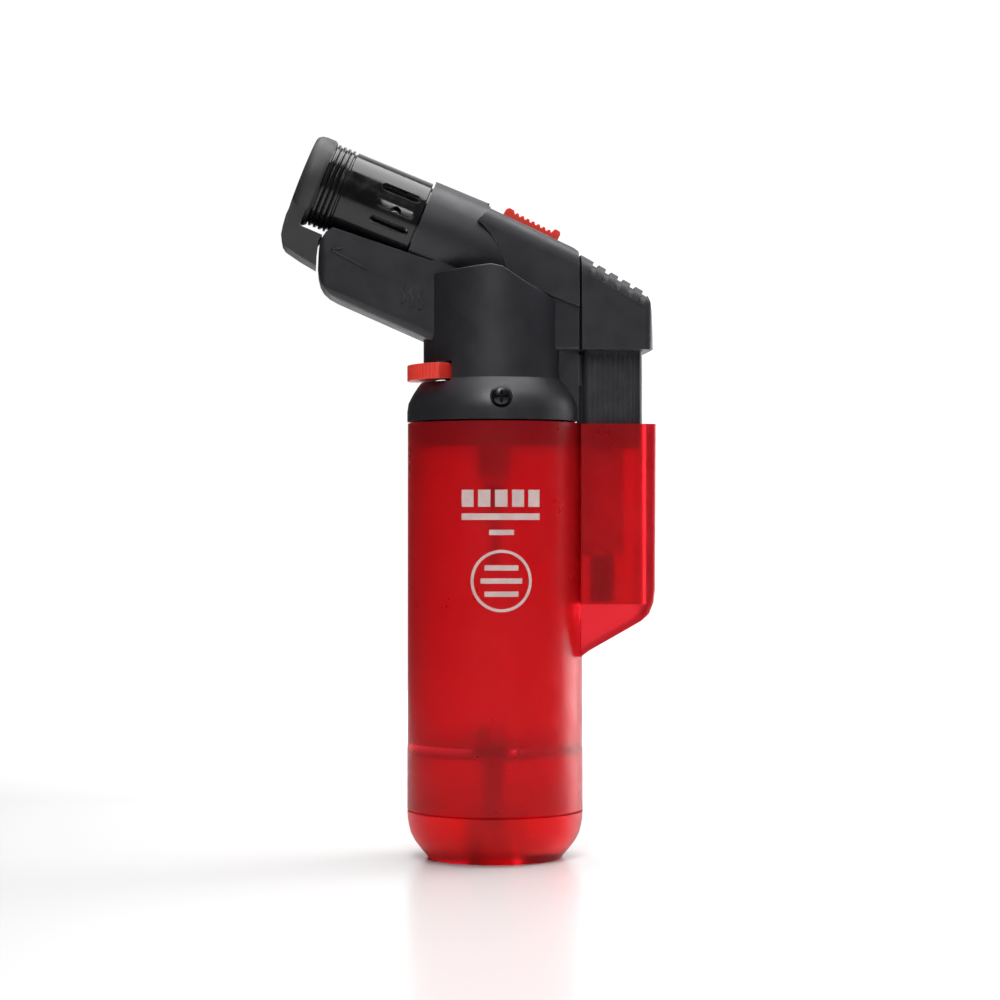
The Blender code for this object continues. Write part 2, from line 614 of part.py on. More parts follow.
# ================================================================ lever, pin
LX, LZ = LEVER_PIVOT
lever = prism("release_lever", [
    (-2.2, 79.2), (-2.2, 80.05), (1.2, 80.2), (3.4, 81.4), (5.0, 81.9), (6.6, 81.4), (8.0, 80.7), (14.6, 80.7), (15.0, 80.3), (14.6, 79.9),
    (8.0, 79.5), (6.6, 78.6), (5.0, 78.1), (3.4, 78.6), (1.2, 79.0)], -1.9, 1.9, M_STEEL)
lever = cut(lever, cyl("lh", P(LX, -10, LZ), (0, 1, 0), 0.9, 0, 20, 16))
lever = cut(lever, box("fk", -6, 1.05, -1.02, 1.02, 70, 90))
origin_at(lever, LX, 0, LZ)
pin = cyl("lever_pin", P(LX, 0, LZ), (0, 1, 0), 0.62, -7.6, 7.6, 14, M_STEEL)

# ================================================================ trigger
CAP = [(13.07, 79.45), (13.0, 94.25), (13.6, 94.05), (14.75, 93.45), (22.6, 88.95), (23.3, 88.2), (23.75, 87.0), (24.0, 85.3),
       (24.15, 82.5), (24.25, 79.45)]


SLOPE = (22.6 - 14.75, 88.95 - 93.45)


def cap_solid(name, hw, r, drop):
    return section(name, hw, r, -drop, 40, (14.75 - SLOPE[0], 93.45 - SLOPE[1]), SLOPE, 30, 5)


cap = prism("trigger_button", CAP, -9, 9)
cap = common(cap, cap_solid("cs0", 7.35, 2.8, 0.0))
cap = common(cap, pillar("cp", rrect(10.0, 24.27, -7.37, 7.37, 1.6, (0, 1, 1, 0), 4), 70, 110))
slope = math.atan2(93.45 - 88.95, 22.6 - 14.75)
for k in range(5):
    x = 15.55 + 1.93 * k
    z = 93.45 - (x - 14.75) * math.tan(slope)
    c, s = math.cos(slope), -math.sin(slope)
    nx, nzz = math.sin(slope), math.cos(slope)
    w = 0.46

    def q(a, b, x=x, z=z, c=c, s=s, nx=nx, nzz=nzz):
        return (x + a * c + b * nx, z + a * s + b * nzz)

    slab = prism("slab", [q(-w, 2), q(-w, -2.2), q(w, -2.2), q(w, 2)], -9, 9)
    slab = cut(slab, cap_solid("core2", 6.85, 2.4, 0.5))
    cap = cut(cap, slab)
stem = pillar("stem", rrect(13.35, 22.85, -5.2, 5.2, 1.2, (1, 1, 1, 1), 3), 64.2, 82.0)
stem = cut(stem, cyl("wallclear", P(0, 0, 0), (0, 0, 1), TANK_R + 0.35, 60, 74.2, 48))
for k in range(STEM_GROOVES):
    for side in (-1, 1):
        x = 14.6 + 7.2 / STEM_GROOVES * k
        stem = cut(stem, box("g", x, x + 0.4, *sorted((side * 5.05, side * 6)), 60, 79.0))
cap = join(cap, stem)
# notch for the lever's tip, spring seat and case socket
cap = cut(cap, box("notch", 12.0, 15.4, -2.4, 2.4, 79.0, 86.4))
cap = cut(cap, box("sock", 15.1, 18.7, -1.8, 1.8, 60, 68.3))
trigger = cap
trigger.data.materials.clear()
trigger.data.materials.append(M_TRIG)
origin_at(trigger, 18.5, 0, 80)

PXC = 17.77  # plunger axis
case = pillar("piezo_case", rrect(14.1, 20.2, -3.2, 3.2, 0.7, (1, 1, 1, 1), 2), 47.4, 63.9, M_CASE)
case = join(case, box("sp", 15.4, 18.4, -1.5, 1.5, 63, 67.9))
case = cut(case, cyl("bc", P(17.0, 0, 0), (0, 0, 1), 2.35, 40, 62.9, 24))
origin_at(case, 17.0, 0, 47.4)
plunger = lathe("piezo_plunger", [(0, 40.1), (1.95, 40.1), (1.95, 50.2), (1.6, 50.6), (0, 50.6)], M_PIEZO, 24, P(17.0, 0, 0))
piezo_spring = sweep("piezo_spring", helix(17.0, 0, 51.15, 57.2, 1.6, 5, 8), 0.18, M_STEEL, 4)
hammer = lathe("piezo_hammer", [(0, 57.7), (1.9, 57.7), (1.9, 59.9), (0, 59.9)], M_STEEL, 20, P(17.0, 0, 0))
origin_at(hammer, 17.0, 0, 57.7)
crystal = lathe("piezo_crystal", [(0, 60.2), (1.9, 60.2), (1.9, 62.6), (0, 62.6)], M_CREAM, 20, P(17.0, 0, 0))
origin_at(crystal, 17.0, 0, 60.2)

# ================================================================ hose and ignition wire
hose_in = (0.0, 0.0, 82.9)
hose = sweep("gas_hose", spline([(0, 0, 82.35), (0, 0, 84.5), (-0.2, 0, 86.8), (-1.6, 0, 89.6), nzp(-21.5, 1.2), nzp(-20.4, 0.1), nzp(-18.2, 0)], 3), 1.35, M_TUBE, 10)
bore_a = cyl("ha", P(0, 0, 0), (0, 0, 1), 1.02, 80, 85.6, 14)
hose = cut(hose, bore_a)
bore_b = cyl("hb", NO, ND, 1.1, -20.0, -15, 14)
hose = cut(hose, bore_b)
wire = sweep("ignition_wire", spline([(6.6, 4.0, 76.8), (6.4, 4.2, 80.5), (5.0, 4.2, 84.0), (1.5, 3.7, 87.2), (-2.5, 2.9, 91.0), nzp(-19.0, -1.6, 3.3), nzp(-14.8, -3.4, 2.6), nzp(-12.4, -4.5, 0.8), nzp(-9.75, -4.78, 0)], 3), 0.5, M_RUBBER, 6)

# ================================================================ lock slider
top = [sl(0, 0)]
top = [sl(0.0, 0.0), sl(0.0, 1.15), sl(0.35, 1.6), sl(1.2, 1.6)]
for k in range(7):
    t = 1.6 + 0.93 * k
    top += [sl(t, 1.1), sl(t + 0.18, 1.45), sl(t + 0.55, 1.45), sl(t + 0.73, 1.1)]
top += [sl(8.2, 1.9), sl(8.6, 2.0), sl(9.2, 1.9), sl(9.4, 1.5), sl(9.4, 0.0)]
slider = prism("lock_slider", top, -2.85, 2.85)
slider = join(slider, prism("tab", [sl(2.7, 0.5), sl(2.7, -2.9), sl(6.2, -2.9), sl(6.2, 0.5)], -1.2, 1.2))
slider.data.materials.clear()
slider.data.materials.append(M_CORAL)
clip = prism("lock_clip", [sl(0.8, -3.2), sl(0.8, -3.9), sl(8.6, -3.9), sl(8.6, -3.2)], -2.9, 2.9, M_STEEL)
origin_at(slider, *(sl(4.7, 0.0)[0], 0, sl(4.7, 0.0)[1]))
origin_at(clip, *(sl(4.7, -3.5)[0], 0, sl(4.7, -3.5)[1]))

# ================================================================ finish
for o in list(COL.objects):
    if o.type != "MESH":
        continue
    tidy(o)
    o.data.name = o.name
    for p in o.data.polygons:
        p.use_smooth = True
    o.data.set_sharp_from_angle(angle=math.radians(32))
    n = sum(len(p.vertices) - 2 for p in o.data.polygons)
    print("node", o.name, n)
print("total", sum(sum(len(p.vertices) - 2 for p in o.data.polygons) for o in COL.objects if o.type == "MESH"))
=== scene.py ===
"""The looks of a pocket butane torch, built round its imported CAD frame.

Metres, +Z up. Shapes are worked out in millimetres from the tank axis and moved by P().
"""
import math

import bmesh
import bpy
import json
from mathutils import Matrix, Vector

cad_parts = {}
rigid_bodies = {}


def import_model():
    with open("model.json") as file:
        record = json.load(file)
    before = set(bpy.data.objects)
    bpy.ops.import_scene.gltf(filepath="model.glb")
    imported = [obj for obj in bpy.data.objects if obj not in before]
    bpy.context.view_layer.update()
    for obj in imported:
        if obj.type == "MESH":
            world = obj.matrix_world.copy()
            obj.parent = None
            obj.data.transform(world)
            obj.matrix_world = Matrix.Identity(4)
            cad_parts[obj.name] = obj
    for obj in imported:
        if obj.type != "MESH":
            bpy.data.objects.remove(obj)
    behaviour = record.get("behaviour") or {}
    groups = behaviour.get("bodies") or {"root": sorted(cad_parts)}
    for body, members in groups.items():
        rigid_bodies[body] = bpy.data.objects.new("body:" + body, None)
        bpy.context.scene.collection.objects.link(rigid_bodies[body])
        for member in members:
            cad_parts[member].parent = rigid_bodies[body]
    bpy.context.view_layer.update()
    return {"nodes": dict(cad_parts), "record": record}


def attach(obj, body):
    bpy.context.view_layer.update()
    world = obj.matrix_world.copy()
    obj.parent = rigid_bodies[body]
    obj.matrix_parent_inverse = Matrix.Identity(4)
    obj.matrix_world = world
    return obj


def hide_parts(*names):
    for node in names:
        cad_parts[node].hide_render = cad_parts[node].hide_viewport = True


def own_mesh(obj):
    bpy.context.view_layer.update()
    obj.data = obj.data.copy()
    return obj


for o in list(bpy.data.objects):
    bpy.data.objects.remove(o, do_unlink=True)

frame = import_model()
COL = bpy.context.scene.collection
FINE = 3
M_RED = M_BASE = M_BLACK = M_TRIG = M_GLOSS = M_GUARD = M_CORAL = M_CORAL2 = M_STEEL = M_DARKSTEEL = M_CASE = None

# ---------------------------------------------------------------- dimensions (mm)
TANK_X = 4.43  # tank axis in the frame, so that the bounding box is centred on the origin
TANK_R = 13.73
SKIRT_R = 13.79
TANK_IN = 12.6
Z_BASE_SEAM = 7.5
Z_FLOOR = 17.5
Z_TOP = 68.05
COLLAR_R = 13.82
NECK_R = 11.26
NECK_IN = 9.3
NOZ_P = (-21.37, 103.25)  # a point on the nozzle axis
NOZ_A = math.radians(22.0)  # nozzle axis above the horizontal
TUBE_R = 6.7
HOOD_R = 7.2
TRIGGER_TRAVEL = 5.5
STEM_GROOVES = 9
LEVER_PIVOT = (5.0, 80.0)
GAP = 0.3


UX, UZ = -math.cos(NOZ_A), math.sin(NOZ_A)  # towards the tip
DX, DZ = -math.sin(NOZ_A), -math.cos(NOZ_A)  # below the axis


def P(x, y, z):
    return Vector(((x + TANK_X) / 1000.0, y / 1000.0, z / 1000.0))


def nz(s, p):
    """A point at s along the nozzle axis and p below it, as (x, z)."""
    return (NOZ_P[0] + s * UX + p * DX, NOZ_P[1] + s * UZ + p * DZ)


def link(name, mesh, mat=None):
    o = bpy.data.objects.new(name, mesh)
    COL.objects.link(o)
    if mat is not None:
        mesh.materials.clear()
        mesh.materials.append(mat)
    return o


def from_bm(name, bm, mat=None):
    bmesh.ops.recalc_face_normals(bm, faces=bm.faces)
    me = bpy.data.meshes.new(name)
    bm.to_mesh(me)
    bm.free()
    return link(name, me, mat)


def solid(name, verts, faces, mat=None):
    bm = bmesh.new()
    vs = [bm.verts.new(v) for v in verts]
    for f in faces:
        bm.faces.new([vs[i] for i in f])
    return from_bm(name, bm, mat)


def axis_matrix(origin, direction):
    """Places local +Z along direction, at origin (metres)."""
    q = Vector(direction).to_track_quat("Z", "Y")
    return Matrix.Translation(origin) @ q.to_matrix().to_4x4()


def lathe(name, prof, mat=None, segs=32, origin=None, direction=(0, 0, 1)):
    segs = min(144, segs * FINE)
    """Turns a closed outline of (r, z) in mm. Points with r = 0 lie on the axis and become poles."""
    M = axis_matrix(P(0, 0, 0) if origin is None else origin, direction)
    verts, rings = [], []
    for r, z in prof:
        if r < 1e-9:
            verts.append(M @ Vector((0, 0, z / 1000)))
            rings.append([len(verts) - 1])
        else:
            ring = []
            for i in range(segs):
                a = 2 * math.pi * i / segs
                verts.append(M @ Vector((r * math.cos(a) / 1000, r * math.sin(a) / 1000, z / 1000)))
                ring.append(len(verts) - 1)
            rings.append(ring)
    faces = []
    n = len(rings)
    for k in range(n):
        a, b = rings[k], rings[(k + 1) % n]
        if len(a) == 1 and len(b) == 1:
            continue
        for i in range(segs):
            j = (i + 1) % segs
            if len(a) == 1:
                faces.append((a[0], b[j], b[i]))
            elif len(b) == 1:
                faces.append((a[i], a[j], b[0]))
            else:
                faces.append((a[i], a[j], b[j], b[i]))
    return solid(name, verts, faces, mat)


def prism(name, pts, y0, y1, mat=None):
    """An outline of (x, z) pulled along Y."""
    n = len(pts)
    verts = [P(x, y0, z) for x, z in pts] + [P(x, y1, z) for x, z in pts]
    faces = [tuple(range(n))[::-1], tuple(range(n, 2 * n))]
    faces += [(i, (i + 1) % n, n + (i + 1) % n, n + i) for i in range(n)]
    return solid(name, verts, faces, mat)


def pillar(name, pts, z0, z1, mat=None):
    """An outline of (x, y) pulled along Z."""
    n = len(pts)
    verts = [P(x, y, z0) for x, y in pts] + [P(x, y, z1) for x, y in pts]
    faces = [tuple(range(n))[::-1], tuple(range(n, 2 * n))]
    faces += [(i, (i + 1) % n, n + (i + 1) % n, n + i) for i in range(n)]
    return solid(name, verts, faces, mat)


def rrect(x0, x1, y0, y1, r, corners=(1, 1, 1, 1), steps=4):
    """A rectangle with rounded corners: (x0,y0), (x1,y0), (x1,y1), (x0,y1)."""
    steps = steps * 2
    out = []
    spec = [
        (x0, y0, 1, 1, 180),
        (x1, y0, -1, 1, 270),
        (x1, y1, -1, -1, 0),
        (x0, y1, 1, -1, 90),
    ]
    for k, (x, y, sx, sy, a0) in enumerate(spec):
        if not corners[k]:
            out.append((x, y))
            continue
        for i in range(steps + 1):
            a = math.radians(a0 + 90 * i / steps)
            out.append((x + sx * r + r * math.cos(a), y + sy * r + r * math.sin(a)))
    return out


def box(name, x0, x1, y0, y1, z0, z1, mat=None):
    return pillar(name, [(x0, y0), (x1, y0), (x1, y1), (x0, y1)], z0, z1, mat)


def sweep(name, path, radius, mat=None, sides=8):
    """A round rod along a path of metre points, with flat ends."""
    pts = [Vector(p) for p in path]
    n = len(pts)
    tang = []
    for i in range(n):
        a, b = pts[max(i - 1, 0)], pts[min(i + 1, n - 1)]
        tang.append((b - a).normalized())
    up = Vector((0, 1, 0)) if abs(tang[0].y) < 0.9 else Vector((0, 0, 1))
    u = (up - tang[0] * up.dot(tang[0])).normalized()
    verts, faces = [], []
    for i in range(n):
        u = (u - tang[i] * u.dot(tang[i])).normalized()
        v = tang[i].cross(u)
        for k in range(sides):
            a = 2 * math.pi * k / sides
            verts.append(pts[i] + (u * math.cos(a) + v * math.sin(a)) * radius / 1000)
    for i in range(n - 1):
        for k in range(sides):
            j = (k + 1) % sides
            faces.append((i * sides + k, i * sides + j, (i + 1) * sides + j, (i + 1) * sides + k))
    faces.append(tuple(range(sides))[::-1])
    faces.append(tuple((n - 1) * sides + k for k in range(sides)))
    return solid(name, verts, faces, mat)


def helix(x, y, z0, z1, r, turns, per=12):
    n = int(turns * per)
    return [
        P(x + r * math.cos(2 * math.pi * i / per), y + r * math.sin(2 * math.pi * i / per), z0 + (z1 - z0) * i / n)
        for i in range(n + 1)
    ]


def spline(pts, steps=6):
    """Catmull-Rom through mm points (x, y, z), in metres."""
    v = [Vector(p) for p in pts]
    v = [v[0] * 2 - v[1]] + v + [v[-1] * 2 - v[-2]]
    out = []
    for i in range(1, len(v) - 2):
        for k in range(steps):
            t = k / steps
            a, b, c, d = v[i - 1], v[i], v[i + 1], v[i + 2]
            q = 0.5 * (2 * b + (c - a) * t + (2 * a - 5 * b + 4 * c - d) * t * t + (3 * b - a - 3 * c + d) * t**3)
            out.append(P(*q))
    out.append(P(*v[-2]))
    return out


def tidy(o):
    bm = bmesh.new()
    bm.from_mesh(o.data)
    bmesh.ops.remove_doubles(bm, verts=bm.verts, dist=2e-6)
    bmesh.ops.dissolve_degenerate(bm, edges=bm.edges, dist=2e-6)
    bmesh.ops.recalc_face_normals(bm, faces=bm.faces)
    bm.to_mesh(o.data)
    bm.free()


def boolean(a, b, op, keep=False):
    m = a.modifiers.new("b", "BOOLEAN")
    m.object = b
    m.operation = op
    m.solver = "EXACT"
    dg = bpy.context.evaluated_depsgraph_get()
    me = bpy.data.meshes.new_from_object(a.evaluated_get(dg))
    a.modifiers.clear()
    mats = [s for s in a.data.materials]
    a.data = me
    if mats:
        me.materials.clear()
        me.materials.append(mats[0])
        for p in me.polygons:
            p.material_index = 0
    if not keep:
        bpy.data.objects.remove(b, do_unlink=True)
    tidy(a)
    return a


def cut(a, b, keep=False):
    return boolean(a, b, "DIFFERENCE", keep)


def join(a, b, keep=False):
    return boolean(a, b, "UNION", keep)


def common(a, b, keep=False):
    return boolean(a, b, "INTERSECT", keep)


def bevel(o, width, segs, test):
    """Rounds the edges for which test(mid, face normals) is true; mid in mm from the tank axis."""
    segs = segs * 2
    bm = bmesh.new()
    bm.from_mesh(o.data)
    bm.normal_update()
    pick = []
    for e in bm.edges:
        if len(e.link_faces) != 2:
            continue
        if e.calc_face_angle(0) < math.radians(30):
            continue
        mid = (e.verts[0].co + e.verts[1].co) / 2
        q = Vector((mid.x * 1000 - TANK_X, mid.y * 1000, mid.z * 1000))
        if test(q, e):
            pick.append(e)
    if pick:
        bmesh.ops.bevel(bm, geom=pick, offset=width / 1000, segments=segs, profile=0.5, affect="EDGES", clamp_overlap=True)
    bmesh.ops.recalc_face_normals(bm, faces=bm.faces)
    bm.to_mesh(o.data)
    bm.free()
    return o


def origin_at(o, x, y, z):
    return o


def cyl(name, origin, direction, r, z0, z1, segs=32, mat=None):
    return lathe(name, [(0, z0), (r, z0), (r, z1), (0, z1)], mat, segs, origin, direction)


def section(name, hw, r, up, down, origin, direction, length, steps=4, top=True):
    """A bar along a direction (x, z) in mm, 2 hw wide, with its two upper (or lower) edges rounded."""
    dx, dz = direction
    k = math.hypot(dx, dz)
    dx, dz = dx / k, dz / k
    nx, nz_ = -dz, dx
    if nz_ < 0:
        nx, nz_ = -nx, -nz_
    pts = rrect(-hw, hw, -down, up, r, (0, 0, 1, 1) if top else (1, 1, 0, 0), steps)
    n = len(pts)
    verts = []
    for t in (0.0, length):
        for y, h in pts:
            verts.append(P(origin[0] + dx * t + nx * h, y, origin[1] + dz * t + nz_ * h))
    faces = [tuple(range(n))[::-1], tuple(range(n, 2 * n))]
    faces += [(i, (i + 1) % n, n + (i + 1) % n, n + i) for i in range(n)]
    return solid(name, verts, faces)


NO = P(NOZ_P[0], 0, NOZ_P[1])
ND = (UX, 0, UZ)


def arc_prism(name, r0, r1, a0, a1, z0, z1, steps, mat=None, rim=None):
    """A curved block about the tank axis between two angles in degrees; rim(i) changes its outer radius."""
    pts = []
    for i in range(steps + 1):
        a = math.radians(a0 + (a1 - a0) * i / steps)
        r = r1 + (rim(i) if rim else 0)
        pts.append((r * math.cos(a), r * math.sin(a)))
    for i in range(steps, -1, -3 if steps % 3 == 0 else -1):
        a = math.radians(a0 + (a1 - a0) * i / steps)
        pts.append((r0 * math.cos(a), r0 * math.sin(a)))
    return pillar(name, pts, z0, z1, mat)


# ================================================================ tank
def holster_outline(x0, x1, hw, r, steps=5):
    return rrect(x0, x1, -hw, hw, r, (0, 1, 1, 0), steps)


tank = lathe(
    "vis_fuel_tank",
    [
        (SKIRT_R, Z_BASE_SEAM + 0.15), (SKIRT_R, 17.0), (TANK_R, 17.6), (TANK_R, Z_TOP),
        (TANK_IN, Z_TOP), (TANK_IN, 18.4), (TANK_IN - 0.6, 17.9), (2.75, 17.9),
        (2.75, 16.7), (TANK_IN - 0.5, 16.7), (TANK_IN, 16.2), (TANK_IN, Z_BASE_SEAM + 0.15),
    ],
    M_RED, 48,
)
HOL = [(12.95, 31.6), (13.22, 31.94), (14.34, 32.72), (19.75, 35.75), (22.3, 37.2), (23.7, 38.4), (24.35, 40.0),
       (24.6, 42.0), (24.75, 67.9), (12.95, 67.9)]
hol = prism("hol", HOL, -6.6, 6.6)
bevel(hol, 3.6, 5, lambda q, e: abs(abs(q.y) - 6.6) < 0.01 and q.x > 23.9)
bevel(hol, 1.1, 2, lambda q, e: abs(abs(q.y) - 6.6) < 0.01 and 13.3 < q.x < 23.95 and q.z < 41)
holster_pocket = pillar("hp", rrect(13.05, 23.55, -5.75, 5.75, 2.6, (0, 1, 1, 0), 4), 39.8, 75)
hol = cut(hol, holster_pocket)
# the housing's joint with the wall is clear of the chamber
core = cyl("core", P(0, 0, 0), (0, 0, 1), TANK_IN + 0.25, 20, 90, 64)
hol = cut(hol, core)
tank = join(tank, hol)
# a box for the pocket's front mouth is made and deleted again without cutting anything
slotc = box("s", 13.02, 14.4, -5.75, 5.75, 39.8, 75)
bpy.data.objects.remove(slotc, do_unlink=True)

# ================================================================ base cap
base = lathe(
    "vis_base_cap",
    [
        (3.3, 0.0), (10.5, 0.0), (10.85, 0.55), (11.5, 1.3), (12.15, 2.1), (12.75, 2.95), (13.25, 3.95),
        (13.55, 5.1), (13.72, 6.2), (13.79, Z_BASE_SEAM - 0.15), (12.25, Z_BASE_SEAM - 0.15), (12.25, 9.6), (11.3, 9.6),
        (11.3, 5.2), (9.4, 1.7), (4.8, 1.7), (4.8, 6.2), (3.3, 6.2),
    ],
    M_BASE, 48,
)

# ================================================================ flame adjuster
hub = lathe("vis_flame_adjuster", [(3.15, 74.75), (5.2, 74.75), (5.2, 76.95), (3.15, 76.95)], M_CORAL2, 32)
arm = box("arm", -10.2, -4.3, -2.4, 2.4, 75.0, 76.8)
arm.data.transform(Matrix.Translation(P(0, 0, 0)) @ Matrix.Rotation(math.radians(14), 4, "Z") @ Matrix.Translation(-P(0, 0, 0)))
hub = join(hub, arm)
serr = arc_prism("tab", 9.6, 13.55, 162, 226, 74.75, 77.15, 36, None, lambda i: 0.27 if i % 2 else -0.08)
hub = join(hub, serr)
adjuster = hub
origin_at(adjuster, 0, 0, 75.9)

# ================================================================ head housing
collar = lathe(
    "vis_head_housing",
    [(0, 68.35), (COLLAR_R, 68.35), (COLLAR_R, 69.9), (13.63, 71.2), (12.97, 72.5), (12.21, 73.7), (11.6, 74.5),
     (NECK_R, 74.9), (NECK_R, 95.0), (0, 95.0)],
    M_BLACK, 48,
)
roof = prism("roof", [(-14.5, 60), (14.5, 60), (14.5, 83.5), (7.8, 87.6), (3.8, 89.7), (0.4, 91.9), (-1.4, 92.3), (-12.5, 90.9), (-14.5, 89)],
             -15, 15)
head = common(collar, roof)
bevel(head, 1.5, 3, lambda q, e: q.z > 83 and math.hypot(q.x, q.y) > NECK_R - 0.3)

NOSE = [
    nz(2.0, 6.2), nz(2.75, 7.2), (-27.55, 96.2), (-27.75, 94.7), (-27.85, 92.6), (-27.7, 91.0), (-27.4, 89.8), (-26.8, 88.75),
    (-25.9, 87.9), (-24.5, 87.1), (-18.1, 84.3), (-10.0, 80.75), (-6.0, 84.0), (-6.0, 95.0), nz(-14.0, 5.2),
]
nose = prism("nose", NOSE, -6.5, 6.5)
nose = common(nose, section("ns", 5.4, 1.5, 30, 0.0, (-34.0, 91.13), (14.5, -6.35), 40, 4, False))
nose = common(nose, pillar("np", rrect(-27.9, 0, -5.42, 5.42, 1.5, (1, 0, 0, 1), 4), 70, 110))
hood = cyl("hood", NO, ND, HOOD_R, -33.5, -10.15, 40)
HOODR = [(-0.95, 101.55), (0.79, 100.62), (10.45, 96.13), (11.24, 95.82), (12.03, 95.36), (12.62, 94.7), (12.62, 86.1),
         (7.63, 88.0), (3.8, 90.0), (1.3, 91.5), (0.9, 93.2), (0.1, 95.2), (-1.2, 97.3), (-2.2, 98.4), (-3.2, 99.4)]
hoodr = prism("hoodr", HOODR, -8.5, 8.5)
hoodr = common(hoodr, section("hs", 7.35, 2.8, 0.0, 30, (-8.0, 104.75), (9.66, -4.49), 40, 5))
step_cut = prism("stc", [(-0.95, 101.6), (0.79, 100.66), (10.45, 96.17), (13.5, 94.2), (20, 95), (20, 110), (-0.6, 110)], -10, 10)
hood = cut(hood, step_cut)
tailc = box("tc", 12.62, 40, -12, 12, 60, 120)
hood = cut(hood, tailc)
head = join(head, nose)
head = join(head, hood)
head = join(head, hoodr)
cheek = prism("cheek", [(6.0, 79.3), (12.62, 79.3), (12.62, 87.5), (6.0, 91.0)], -6.9, 6.9)
bevel(cheek, 0.6, 2, lambda q, e: abs(abs(q.y) - 6.9) < 0.01 and q.x > 6.5 and q.z < 79.6)
head = join(head, cheek)
lower = prism("lower", [(5.0, 68.35), (12.62, 68.35), (12.62, 79.9), (5.0, 79.9)], -5.9, 5.9)
head = join(head, lower)
# the collar is cut flat where the trigger's stem runs
head = cut(head, box("flat", 12.62, 30, -15, 15, 60, 79.9))

# inside: neck, barrel, lever window, adjuster slot
inner = cyl("inner", P(0, 0, 0), (0, 0, 1), NECK_IN, 60, 89.2, 32)
inner = join(inner, section("passage", 4.5, 0.8, 3.4, 6.9, nz(-27.0, 0.0), (UX, UZ), 13, 2))
head = cut(head, inner)
recess = lathe("recess", [(0, 60), (12.25, 60), (12.25, 70.6), (11.6, 70.9), (11.6, 73.1), (0, 73.1)], None, 48)
recess = cut(recess, box("rc", 11.3, 30, -15, 15, 50, 90))
head = cut(head, recess)
head = cut(head, cyl("bore", NO, ND, 6.35, -21.0, -9.0, 36))
head = cut(head, cyl("saddle", NO, ND, TUBE_R + GAP, -10.0, 20, 48))
head = cut(head, box("window", 8.0, 20, -2.4, 2.4, 75.6, 84.0))
head = cut(head, arc_prism("slot", 8.6, 14.5, 131, 229.5, 74.42, 77.5, 24))
for s in (-1, 1):
    head = cut(head, cyl("cb", P(0, s * 15.0, 71.75), (0, -s, 0), 1.75, 0, 2.35, 20))
    head = cut(head, cyl("cs", P(0, s * 15.0, 71.75), (0, -s, 0), 1.05, 0, 5, 16))
# slider pocket and slot on the sloping top
SL_A = math.atan2(100.29 - 95.98, 9.5 - 1.02)
SLX, SLZ = math.cos(SL_A), -math.sin(SL_A)  # down the slope, towards the trigger
SNX, SNZ = math.sin(SL_A), math.cos(SL_A)  # out of the slope
SL0 = (1.02, 100.6)  # front lower corner of the slider


def sl(t, n):
    return (SL0[0] + t * SLX + n * SNX, SL0[1] + t * SLZ + n * SNZ)


head = cut(head, prism("pocket", [sl(-2.9, 0.9), sl(-2.9, -0.35), sl(9.8, -0.35), sl(9.8, 0.9)], -3.15, 3.15))
head = cut(head, prism("tabslot", [sl(-0.2, 2), sl(-0.2, -9), sl(7.2, -9), sl(7.2, 2)], -1.5, 1.5))
head = cut(head, prism("clipspace", [sl(-2.2, -2.0), sl(-2.2, -6), sl(9.2, -6), sl(9.2, -2.0)], -3.6, 3.6))
# pin holes
head = cut(head, cyl("ph", P(LEVER_PIVOT[0], -20, LEVER_PIVOT[1]), (0, 1, 0), 0.95, 11.6, 28.4, 16))

# ================================================================ screws
def screw(name, side):
    """A pan-head screw that points inwards from side * Y."""
    o = P(0, side * 13.35, 71.75)
    d = (0, -side, 0)
    s = lathe(name, [(0, -0.42), (0.8, -0.36), (1.3, -0.1), (1.42, 0.25), (1.42, 0.55), (0.75, 0.75), (0.65, 1.0), (0.65, 3.9),
                     (0.35, 4.5), (0, 4.5)], M_DARKSTEEL, 16, o, d)
    for a in (0, 1):
        w, h = (0.19, 0.95) if a else (0.95, 0.19)
        y0, y1 = sorted((side * 14.3, side * 13.05))
        s = cut(s, box("x", -w, w, y0, y1, 71.75 - h, 71.75 + h))
    return s


screw_l = screw("vis_collar_screw_left", -1)
screw_r = screw("vis_collar_screw_right", 1)

# ================================================================ nozzle
NT = [(5.75, -12.6), (6.05, -12.6), (6.05, -9.85), (TUBE_R, -9.85), (TUBE_R, 2.7), (6.35, 2.8), (6.35, 3.1)]
for k in range(4):
    s0 = 3.1 + 0.82 * k
    NT += [(6.76, s0 + 0.08), (6.76, s0 + 0.44), (6.35, s0 + 0.52)][: 3]
NT += [(6.35, 6.4), (6.15, 6.4), (6.15, 8.6), (5.75, 8.6)]
tube = lathe("vis_nozzle_tube", NT, M_GLOSS, 32, NO, ND)


def slot_cutter(theta, side):
    """A stadium through the wall at theta degrees above the axis plane, on side * Y."""
    t = math.radians(theta)
    # outward direction in the plane across the axis
    up = Vector((-DX, 0, -DZ))
    out = Vector((0, side, 0)) * math.cos(t) + up * math.sin(t)
    along = Vector(ND)
    w = along.cross(out)
    L0, L1, hw = -8.4, -3.3, 0.62
    pts = []
    for i in range(7):
        a = math.radians(-90 + 30 * i)
        pts.append((L1 + hw * math.cos(a), hw * math.sin(a)))
    for i in range(7):
        a = math.radians(90 + 30 * i)
        pts.append((L0 + hw * math.cos(a), hw * math.sin(a)))
    n = len(pts)
    verts = []
    for r in (4.9, 8.0):
        for s, q in pts:
            verts.append(NO + (along * s + w * q + out * r) / 1000)
    faces = [tuple(range(n))[::-1], tuple(range(n, 2 * n))]
    faces += [(i, (i + 1) % n, n + (i + 1) % n, n + i) for i in range(n)]
    return solid("slotc", verts, faces)


for side in (-1, 1):
    for th in (24, 0, -24):
        tube = cut(tube, slot_cutter(th, side))

